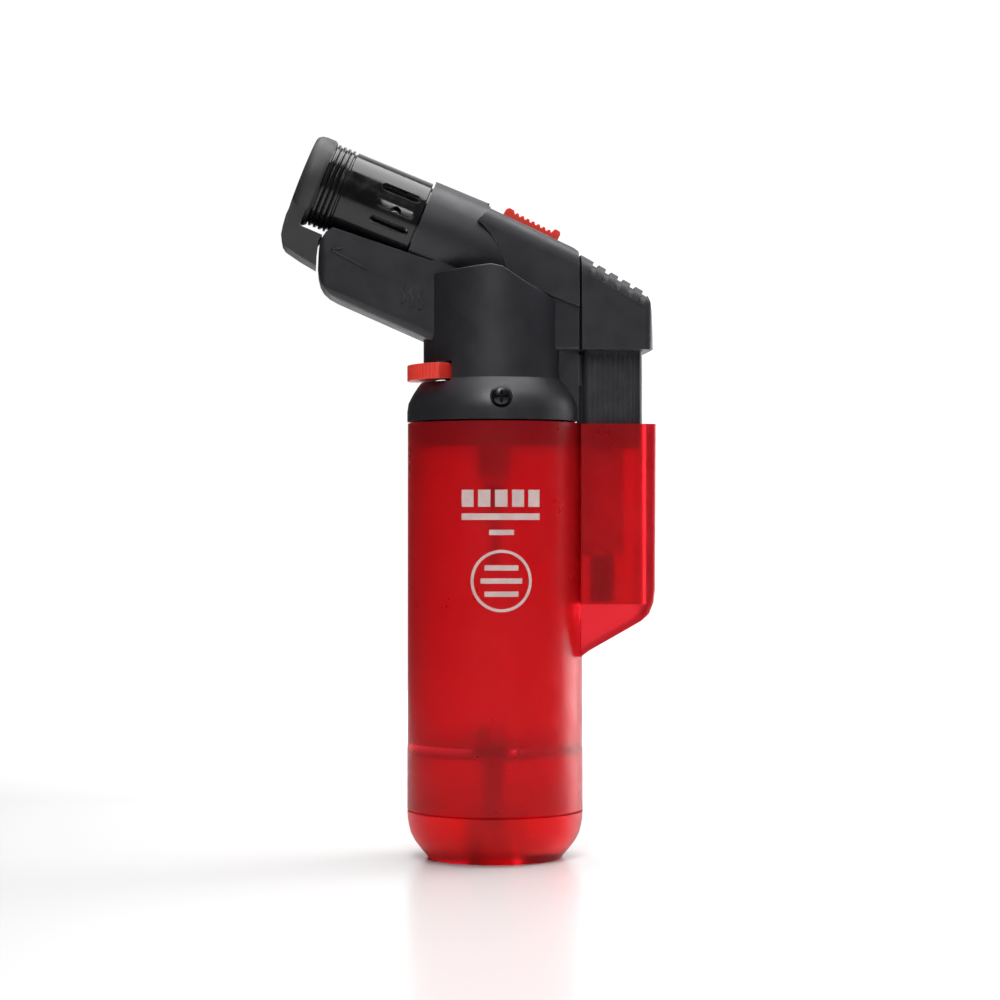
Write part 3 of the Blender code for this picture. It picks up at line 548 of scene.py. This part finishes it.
guard = lathe("vis_nozzle_guard", [(6.45, 6.3), (6.8, 6.3), (7.1, 6.7), (7.1, 8.2), (6.95, 8.9), (6.6, 9.4), (6.3, 9.55), (6.3, 8.9), (6.45, 8.7)],
              M_GUARD, 36, NO, ND)
TONGUE = [
    nz(9.35, 4.0), nz(9.5, 7.1), nz(9.3, 8.9), nz(9.05, 10.2), nz(8.5, 11.1), nz(7.75, 11.65), nz(6.9, 11.85), nz(5.0, 12.25),
    nz(3.25, 12.5), (-28.15, 92.35), (-28.05, 94.7), (-27.85, 96.3), nz(3.15, 7.85), nz(7.0, 7.8), nz(7.0, 4.0),
]
tongue = prism("tongue", TONGUE, -4.9, 4.9)
bevel(tongue, 0.8, 2, lambda q, e: abs(abs(q.y) - 4.9) < 0.01 and (q.x < -31.0 or q.z < 95.0))
tongue = cut(tongue, cyl("tg", NO, ND, 6.55, -5, 20, 36))
guard = join(guard, tongue)

# ================================================================ trigger
CAP = [(13.07, 79.45), (13.0, 94.25), (13.6, 94.05), (14.75, 93.45), (22.6, 88.95), (23.3, 88.2), (23.75, 87.0), (24.0, 85.3),
       (24.15, 82.5), (24.25, 79.45)]


SLOPE = (22.6 - 14.75, 88.95 - 93.45)


def cap_solid(name, hw, r, drop):
    return section(name, hw, r, -drop, 40, (14.75 - SLOPE[0], 93.45 - SLOPE[1]), SLOPE, 30, 5)


cap = prism("vis_trigger_button", CAP, -9, 9)
cap = common(cap, cap_solid("cs0", 7.35, 2.8, 0.0))
cap = common(cap, pillar("cp", rrect(10.0, 24.27, -7.37, 7.37, 1.6, (0, 1, 1, 0), 4), 70, 110))
slope = math.atan2(93.45 - 88.95, 22.6 - 14.75)
for k in range(5):
    x = 15.55 + 1.93 * k
    z = 93.45 - (x - 14.75) * math.tan(slope)
    c, s = math.cos(slope), -math.sin(slope)
    nx, nzz = math.sin(slope), math.cos(slope)
    w = 0.46

    def q(a, b, x=x, z=z, c=c, s=s, nx=nx, nzz=nzz):
        return (x + a * c + b * nx, z + a * s + b * nzz)

    slab = prism("slab", [q(-w, 2), q(-w, -2.2), q(w, -2.2), q(w, 2)], -9, 9)
    slab = cut(slab, cap_solid("core2", 6.85, 2.4, 0.5))
    cap = cut(cap, slab)
stem = pillar("stem", rrect(13.35, 22.85, -5.2, 5.2, 1.2, (1, 1, 1, 1), 3), 64.2, 82.0)
stem = cut(stem, cyl("wallclear", P(0, 0, 0), (0, 0, 1), TANK_R + 0.35, 60, 74.2, 48))
for k in range(STEM_GROOVES):
    for side in (-1, 1):
        x = 14.6 + 7.2 / STEM_GROOVES * k
        stem = cut(stem, box("g", x, x + 0.4, *sorted((side * 5.05, side * 6)), 60, 79.0))
cap = join(cap, stem)
# notch for the lever's tip, spring seat and case socket
cap = cut(cap, box("notch", 12.0, 15.4, -2.4, 2.4, 79.0, 86.4))
cap = cut(cap, box("sock", 15.1, 18.7, -1.8, 1.8, 60, 68.3))
trigger = cap
origin_at(trigger, 18.5, 0, 80)

# ================================================================ lock slider
top = [sl(0, 0)]
top = [sl(0.0, 0.0), sl(0.0, 1.15), sl(0.35, 1.6), sl(1.2, 1.6)]
for k in range(7):
    t = 1.6 + 0.93 * k
    top += [sl(t, 1.1), sl(t + 0.18, 1.45), sl(t + 0.55, 1.45), sl(t + 0.73, 1.1)]
top += [sl(8.2, 1.9), sl(8.6, 2.0), sl(9.2, 1.9), sl(9.4, 1.5), sl(9.4, 0.0)]
slider = prism("vis_lock_slider", top, -2.85, 2.85)
slider = join(slider, prism("tab", [sl(2.7, 0.5), sl(2.7, -2.9), sl(6.2, -2.9), sl(6.2, 0.5)], -1.2, 1.2))


# ================================================================ materials
def new_mat(name):
    m = bpy.data.materials.new(name)
    m.use_nodes = True
    nt = m.node_tree
    nt.nodes.clear()
    out = nt.nodes.new("ShaderNodeOutputMaterial")
    b = nt.nodes.new("ShaderNodeBsdfPrincipled")
    nt.links.new(b.outputs[0], out.inputs[0])
    return m, nt, b, out


def noise(nt, scale, detail=3.0, rough=0.55, stretch=None, coords="Object"):
    tc = nt.nodes.new("ShaderNodeTexCoord")
    n = nt.nodes.new("ShaderNodeTexNoise")
    n.inputs["Scale"].default_value = scale
    n.inputs["Detail"].default_value = detail
    n.inputs["Roughness"].default_value = rough
    src = tc.outputs[coords]
    if stretch:
        mp = nt.nodes.new("ShaderNodeMapping")
        mp.inputs["Scale"].default_value = stretch
        nt.links.new(src, mp.inputs["Vector"])
        src = mp.outputs[0]
    nt.links.new(src, n.inputs["Vector"])
    return n.outputs["Fac"]


def ramp(nt, src, a, b, lo=0.0, hi=1.0):
    r = nt.nodes.new("ShaderNodeMapRange")
    r.inputs["From Min"].default_value = lo
    r.inputs["From Max"].default_value = hi
    r.inputs["To Min"].default_value = a
    r.inputs["To Max"].default_value = b
    nt.links.new(src, r.inputs["Value"])
    return r.outputs["Result"]


def mix_rgb(nt, fac, a, b):
    m = nt.nodes.new("ShaderNodeMix")
    m.data_type = "RGBA"
    if hasattr(fac, "links"):
        nt.links.new(fac, m.inputs[0])
    else:
        m.inputs[0].default_value = fac
    for i, v in ((6, a), (7, b)):
        if hasattr(v, "links"):
            nt.links.new(v, m.inputs[i])
        else:
            m.inputs[i].default_value = (*v, 1.0)
    return m.outputs[2]


def bump(nt, b, height, strength, distance):
    n = nt.nodes.new("ShaderNodeBump")
    n.inputs["Strength"].default_value = strength
    n.inputs["Distance"].default_value = distance
    nt.links.new(height, n.inputs["Height"])
    nt.links.new(n.outputs[0], b.inputs["Normal"])
    return n


def edge_mask(nt, radius=0.00035):
    """Near 1 on outer and inner edges, 0 on flat faces."""
    bv = nt.nodes.new("ShaderNodeBevel")
    bv.samples = 4
    bv.inputs["Radius"].default_value = radius
    g = nt.nodes.new("ShaderNodeNewGeometry")
    d = nt.nodes.new("ShaderNodeVectorMath")
    d.operation = "DOT_PRODUCT"
    nt.links.new(bv.outputs[0], d.inputs[0])
    nt.links.new(g.outputs["Normal"], d.inputs[1])
    return ramp(nt, d.outputs["Value"], 1.0, 0.0, 0.8, 1.0)


def plastic_black(name, base, worn, r0, r1, grain=2600.0, grain_s=0.35, spec=0.5):
    m, nt, b, out = new_mat(name)
    big = noise(nt, 90.0, 4.0)
    col = mix_rgb(nt, ramp(nt, big, 0.0, 1.0, 0.3, 0.7), base, tuple(c * 1.35 for c in base))
    edge = edge_mask(nt)
    wear = nt.nodes.new("ShaderNodeMath")
    wear.operation = "MULTIPLY"
    nt.links.new(edge, wear.inputs[0])
    nt.links.new(ramp(nt, noise(nt, 400.0, 5.0), 0.15, 0.8, 0.4, 0.65), wear.inputs[1])
    nt.links.new(mix_rgb(nt, wear.outputs[0], col, worn), b.inputs["Base Color"])
    nt.links.new(ramp(nt, noise(nt, 300.0, 5.0), r0, r1, 0.3, 0.7), b.inputs["Roughness"])
    b.inputs["Specular IOR Level"].default_value = spec
    bump(nt, b, noise(nt, grain, 2.0), grain_s, 0.00003)
    return m


M_HOUSING = plastic_black("housing_black", (0.016, 0.0157, 0.0195), (0.07, 0.072, 0.08), 0.38, 0.52)
M_TRIG = plastic_black("trigger_black", (0.02, 0.02, 0.024), (0.072, 0.074, 0.082), 0.38, 0.52)
M_GUARD = plastic_black("guard_black", (0.028, 0.028, 0.03), (0.07, 0.07, 0.075), 0.48, 0.62, 2200.0, 0.45)
M_PIEZO = plastic_black("piezo_black", (0.02, 0.018, 0.02), (0.06, 0.06, 0.06), 0.4, 0.5)
M_WIRE = plastic_black("rubber_black", (0.015, 0.015, 0.015), (0.04, 0.04, 0.04), 0.6, 0.75)


def gloss_black():
    m, nt, b, out = new_mat("nozzle_black")
    col = mix_rgb(nt, ramp(nt, noise(nt, 120.0, 4.0), 0.0, 1.0, 0.35, 0.7), (0.0045, 0.0045, 0.005), (0.011, 0.0105, 0.011))
    edge = edge_mask(nt, 0.0002)
    nt.links.new(mix_rgb(nt, ramp(nt, edge, 0.0, 0.5), col, (0.06, 0.06, 0.065)), b.inputs["Base Color"])
    nt.links.new(ramp(nt, noise(nt, 700.0, 5.0), 0.1, 0.22, 0.3, 0.7), b.inputs["Roughness"])
    b.inputs["Specular IOR Level"].default_value = 0.5
    b.inputs["Coat Weight"].default_value = 0.03
    b.inputs["Coat Roughness"].default_value = 0.06
    bump(nt, b, noise(nt, 160.0, 3.0), 0.12, 0.00006)
    return m


M_GLOSS = gloss_black()


def frosted(name, base, deep, trans):
    """A frosted, tinted, see-through moulding."""
    m, nt, b, out = new_mat(name)
    big = noise(nt, 55.0, 4.0)
    nt.links.new(mix_rgb(nt, ramp(nt, big, 0.0, 1.0, 0.3, 0.7), base, deep), b.inputs["Base Color"])
    nt.links.new(ramp(nt, noise(nt, 260.0, 5.0), 0.27, 0.4, 0.3, 0.7), b.inputs["Roughness"])
    b.inputs["Transmission Weight"].default_value = trans
    b.inputs["IOR"].default_value = 1.3
    b.inputs["Specular IOR Level"].default_value = 0.3
    bump(nt, b, noise(nt, 1900.0, 2.0), 0.25, 0.00003)
    return m


M_TANK = frosted("tank_red", (0.84, 0.026, 0.04), (0.77, 0.02, 0.033), 0.78)
M_BASE = frosted("base_red", (0.98, 0.01, 0.024), (0.95, 0.008, 0.02), 0.86)


def coral(name, base):
    m, nt, b, out = new_mat(name)
    col = mix_rgb(nt, ramp(nt, noise(nt, 200.0, 4.0), 0.0, 1.0, 0.3, 0.7), base, tuple(c * 0.86 for c in base))
    nt.links.new(mix_rgb(nt, ramp(nt, edge_mask(nt, 0.00025), 0.0, 0.35), col, (0.95, 0.3, 0.22)), b.inputs["Base Color"])
    nt.links.new(ramp(nt, noise(nt, 500.0, 5.0), 0.33, 0.46, 0.3, 0.7), b.inputs["Roughness"])
    bump(nt, b, noise(nt, 1500.0, 2.0), 0.2, 0.00003)
    return m


M_SLIDER = coral("slider_coral", (0.92, 0.055, 0.034))
M_ADJ = coral("adjuster_coral", (0.9, 0.045, 0.03))


def metal(name, base, dark, r0, r1, stretch=(1, 1, 14)):
    m, nt, b, out = new_mat(name)
    fine = noise(nt, 500.0, 5.0, 0.6, stretch)
    nt.links.new(mix_rgb(nt, ramp(nt, fine, 0.0, 1.0, 0.3, 0.7), base, dark), b.inputs["Base Color"])
    b.inputs["Metallic"].default_value = 1.0
    nt.links.new(ramp(nt, fine, r0, r1, 0.3, 0.7), b.inputs["Roughness"])
    bump(nt, b, fine, 0.12, 0.00003)
    return m


M_STEEL = metal("steel", (0.62, 0.62, 0.63), (0.45, 0.45, 0.46), 0.24, 0.4)
M_BRASS = metal("brass", (0.72, 0.5, 0.2), (0.55, 0.36, 0.13), 0.22, 0.4)
M_SCREW = metal("screw_black", (0.055, 0.056, 0.06), (0.025, 0.025, 0.028), 0.25, 0.45, (1, 1, 1))


def plain(name, base, r0, r1, alpha_trans=0.0):
    m, nt, b, out = new_mat(name)
    nt.links.new(mix_rgb(nt, ramp(nt, noise(nt, 350.0, 5.0), 0.0, 1.0, 0.3, 0.7), base, tuple(c * 0.8 for c in base)), b.inputs["Base Color"])
    nt.links.new(ramp(nt, noise(nt, 600.0, 4.0), r0, r1, 0.3, 0.7), b.inputs["Roughness"])
    b.inputs["Transmission Weight"].default_value = alpha_trans
    bump(nt, b, noise(nt, 1200.0, 3.0), 0.2, 0.00003)
    return m


M_CREAM = plain("insulator", (0.72, 0.69, 0.6), 0.5, 0.65)
M_HOSE = plain("hose", (0.8, 0.8, 0.78), 0.25, 0.4, 0.5)
M_PLUG = plain("plug", (0.035, 0.006, 0.007), 0.4, 0.55)
M_PRINT = plain("print_white", (0.72, 0.55, 0.53), 0.45, 0.6)
M_CASE = plain("igniter_case", (0.86, 0.82, 0.8), 0.4, 0.55)

# ================================================================ finish the visible pieces
by_slot = {
    "tank_red": M_TANK, "base_red": M_BASE, "housing_black": M_HOUSING, "trigger_black": M_TRIG, "nozzle_black": M_GLOSS,
    "guard_black": M_GUARD, "slider_coral": M_SLIDER, "adjuster_coral": M_ADJ, "screw_black": M_SCREW, "steel": M_STEEL,
    "brass": M_BRASS, "rubber": M_WIRE, "insulator": M_CREAM, "hose": M_HOSE, "plug": M_PLUG, "piezo_black": M_PIEZO, "igniter_case": M_CASE,
}
node_slot = {}
for s in frame["record"]["subparts"]:
    node_slot[s["node"]] = s["material_slot"]


def show(o, body, nodes, slot, width=0.00012, segs=2, angle=35):
    o.name = "vis_" + nodes[0]
    o.data.name = o.name
    o.data.materials.clear()
    o.data.materials.append(by_slot[slot])
    for p in o.data.polygons:
        p.use_smooth = True
        p.material_index = 0
    if width:
        m = o.modifiers.new("bevel", "BEVEL")
        m.width = width
        m.segments = segs
        m.limit_method = "ANGLE"
        m.angle_limit = math.radians(angle)
        m.use_clamp_overlap = True
        m.harden_normals = False
        o.data.set_sharp_from_angle(angle=math.radians(60))
    else:
        o.data.set_sharp_from_angle(angle=math.radians(angle))
        m = o.modifiers.new("normals", "WEIGHTED_NORMAL")
        m.mode = "FACE_AREA"
        m.weight = 50
        m.keep_sharp = True
    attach(o, body)
    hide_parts(*nodes)


show(tank, "torch", ["fuel_tank"], "tank_red", 0, 0, 30)
show(base, "torch", ["base_cap"], "base_red", 0, 0, 30)
show(head, "torch", ["head_housing"], "housing_black", 0.00012, 2)
show(screw_l, "torch", ["collar_screw_left"], "screw_black", 0.00006, 2)
show(screw_r, "torch", ["collar_screw_right"], "screw_black", 0.00006, 2)
show(tube, "torch", ["nozzle_tube"], "nozzle_black", 0.0001, 2)
show(guard, "torch", ["nozzle_guard"], "guard_black", 0.00012, 2)
show(trigger, "trigger", ["trigger_button"], "trigger_black", 0.00015, 2)
show(adjuster, "adjuster", ["flame_adjuster"], "adjuster_coral", 0.0001, 2)
show(slider, "slider", ["lock_slider"], "slider_coral", 0.0001, 2)

done = {"fuel_tank", "base_cap", "head_housing", "collar_screw_left", "collar_screw_right", "nozzle_tube", "nozzle_guard",
        "trigger_button", "flame_adjuster", "lock_slider"}
for name, o in frame["nodes"].items():
    if name in done:
        continue
    o.data.materials.clear()
    o.data.materials.append(by_slot[node_slot[name]])

# each coil gets its own copy of its mesh
def coil(node):
    o = frame["nodes"][node]
    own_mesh(o)


coil("piezo_spring")
coil("gas_valve_spring")
coil("refill_spring")

# ================================================================ print and raised marks
def on_tank(name, pts_uz, r0, r1):
    """A thin printed patch: an outline of (u, z) wrapped on the tank at its -Y side."""
    n = len(pts_uz)
    verts = []
    for r in (r0, r1):
        for u, z in pts_uz:
            a = -math.pi / 2 + u / TANK_R
            verts.append(P(r * math.cos(a), r * math.sin(a), z))
    faces = [tuple(range(n))[::-1], tuple(range(n, 2 * n))]
    faces += [(i, (i + 1) % n, n + (i + 1) % n, n + i) for i in range(n)]
    return solid(name, verts, faces)


def bar_patch(name, u0, u1, z0, z1):
    k = max(2, int((u1 - u0) / 0.35))
    pts = [(u0 + (u1 - u0) * i / k, z0) for i in range(k + 1)] + [(u1 - (u1 - u0) * i / k, z1) for i in range(k + 1)]
    return on_tank(name, pts, TANK_R + 0.004, TANK_R + 0.03)


def merge(name, objs):
    bm = bmesh.new()
    for o in objs:
        bm.from_mesh(o.data)
        bpy.data.objects.remove(o, do_unlink=True)
    return from_bm(name, bm)


marks = []
# a row of blocks, a thin line under it, and a ring with three lines in it
for k, w in enumerate((1.9, 1.9, 1.9, 1.9, 1.9)):
    u = -6.2 + k * 2.6
    marks.append(bar_patch("p", u, u + w, 54.9, 57.5))
marks.append(bar_patch("p", -6.2, 6.1, 52.9, 53.9))
marks.append(bar_patch("p", -1.9, 1.9, 50.6, 51.4))
R0, R1, ZC = 4.3, 4.75, 43.6
N = 96
for i in range(N):
    a0, a1 = 2 * math.pi * i / N, 2 * math.pi * (i + 1) / N
    marks.append(on_tank("p", [(R0 * math.cos(a0), ZC + R0 * math.sin(a0)), (R1 * math.cos(a0), ZC + R1 * math.sin(a0)),
                               (R1 * math.cos(a1), ZC + R1 * math.sin(a1)), (R0 * math.cos(a1), ZC + R0 * math.sin(a1))],
                         TANK_R + 0.004, TANK_R + 0.03))
marks.append(bar_patch("p", -2.6, 2.6, 45.2, 46.0))
marks.append(bar_patch("p", -3.2, 3.2, 43.2, 44.0))
marks.append(bar_patch("p", -2.6, 2.6, 41.2, 42.0))
pr = merge("tank_print", marks)
pr.data.materials.append(M_PRINT)
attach(pr, "torch")


def raised(name, pts, side, y=5.4, h=0.2):
    y0, y1 = sorted((side * (y - 0.15), side * (y + h)))
    return prism(name, pts, y0, y1)


def stroke(a, b, w):
    dx, dz = b[0] - a[0], b[1] - a[1]
    k = math.hypot(dx, dz)
    nx, nz_ = -dz / k * w / 2, dx / k * w / 2
    return [(a[0] + nx, a[1] + nz_), (b[0] + nx, b[1] + nz_), (b[0] - nx, b[1] - nz_), (a[0] - nx, a[1] - nz_)]


def wave(x, z, s, n=10):
    up, dn = [], []
    for i in range(n + 1):
        t = i / n
        q = 0.32 * math.sin(2 * math.pi * t)
        cx = x + q - t * 3.0 * math.sin(NOZ_A) * -1 * 0.35
        cz = z + t * 3.0
        up.append((cx - 0.16, cz))
        dn.append((cx + 0.16, cz))
    return up + dn[::-1]


for side, tag in ((-1, "left"), (1, "right")):
    bits = []
    tip, tail_ = nz(1.0, 9.5), nz(-5.3, 10.2)
    bits.append(raised("m", stroke(tip, tail_, 0.28), side))
    bits.append(raised("m", stroke(tip, nz(-0.6, 8.6), 0.28), side))
    for k in range(3):
        bits.append(raised("m", wave(-14.9 + 1.35 * k, 86.6 - 0.5 * k, 1), side))
    o = merge("heat_marks_" + tag, bits)
    o.data.materials.append(M_HOUSING)
    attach(o, "torch")

# ================================================================ stage
TH = math.radians(4.3)


def turned(x, y, z):
    """A point in the camera's frame (mm from the tank axis), moved into the row frame."""
    c, s = math.cos(TH), math.sin(TH)
    return P(x * c + y * s, -x * s + y * c, z)


def stage_mat(name, base, rough, spec):
    m, nt, b, out = new_mat(name)
    nt.links.new(mix_rgb(nt, ramp(nt, noise(nt, 6.0, 3.0), 0.0, 1.0, 0.3, 0.7), base, tuple(c * 0.985 for c in base)), b.inputs["Base Color"])
    b.inputs["Roughness"].default_value = rough
    b.inputs["Specular IOR Level"].default_value = spec
    return m


ground = solid("stage_floor", [turned(-152, -395, 0), turned(152, -395, 0), turned(152, 413, 0), turned(-152, 413, 0)], [(0, 1, 2, 3)])
gm = stage_mat("stage_floor_mat", (0.7, 0.7, 0.7), 0.26, 0.3)
gb = next(n for n in gm.node_tree.nodes if n.type == "BSDF_PRINCIPLED")
gb.inputs["Emission Color"].default_value = (1.0, 1.0, 1.0, 1.0)
ft = gm.node_tree
fc = ft.nodes.new("ShaderNodeTexCoord")
fs = ft.nodes.new("ShaderNodeSeparateXYZ")
ft.links.new(fc.outputs["Object"], fs.inputs[0])
ft.links.new(ramp(ft, fs.outputs["Y"], 0.0, 0.7, 0.09, 0.4), gb.inputs["Emission Strength"])
ground.data.materials.append(gm)

w = bpy.context.scene.world or bpy.data.worlds.new("world")
bpy.context.scene.world = w
w.use_nodes = True
wt = w.node_tree
bg = wt.nodes.get("Background") or wt.nodes.new("ShaderNodeBackground")
# a white sweep straight behind the object, a dim studio all round, and white where the camera looks
wc = wt.nodes.new("ShaderNodeTexCoord")
ws = wt.nodes.new("ShaderNodeVectorMath")
ws.operation = "DOT_PRODUCT"
ws.inputs[1].default_value = (0.62, 0.785, 0.0)
wr = wt.nodes.new("ShaderNodeMapRange")
wr.interpolation_type = "SMOOTHSTEP"
wr.inputs["From Min"].default_value = 0.5
wr.inputs["From Max"].default_value = 0.93
wr.inputs["To Min"].default_value = 0.035
wr.inputs["To Max"].default_value = 1.3
wt.links.new(wc.outputs["Generated"], ws.inputs[0])
wt.links.new(ws.outputs["Value"], wr.inputs["Value"])
lp = wt.nodes.new("ShaderNodeLightPath")
wm = wt.nodes.new("ShaderNodeMath")
wm.operation = "MAXIMUM"
wt.links.new(wr.outputs["Result"], wm.inputs[0])
wt.links.new(lp.outputs["Is Camera Ray"], wm.inputs[1])
wt.links.new(wm.outputs[0], bg.inputs[1])
bg.inputs[0].default_value = (1.0, 1.0, 1.0, 1.0)


def area(name, loc, target, size, size_y, energy, color=(1, 1, 1)):
    l = bpy.data.lights.new(name, "AREA")
    l.shape = "RECTANGLE"
    l.size = size
    l.size_y = size_y
    l.energy = energy
    l.color = color
    o = bpy.data.objects.new(name, l)
    COL.objects.link(o)
    o.location = turned(*loc)
    d = turned(*target) - o.location
    o.rotation_euler = d.to_track_quat("-Z", "Y").to_euler()
    return o


area("key_front_top", (-30, -330, 430), (0, 0, 80), 0.16, 0.3, 1.45)
area("top", (40, 60, 560), (0, 0, 60), 0.6, 0.4, 4.2)
area("rim_right", (430, 250, 180), (0, 0, 50), 0.3, 0.5, 2.2)

cam = bpy.data.cameras.new("camera")
co = bpy.data.objects.new("camera", cam)
COL.objects.link(co)
cam.sensor_width = 36.0
cam.lens = 92.1
cam.clip_start = 0.01
cam.dof.use_dof = False
co.location = turned(0.79, -403.0, 51.67)
co.rotation_euler = (math.radians(90.0 + 0.627), 0.0, -TH)
bpy.context.scene.camera = co
bpy.context.scene.view_settings.view_transform = "Standard"
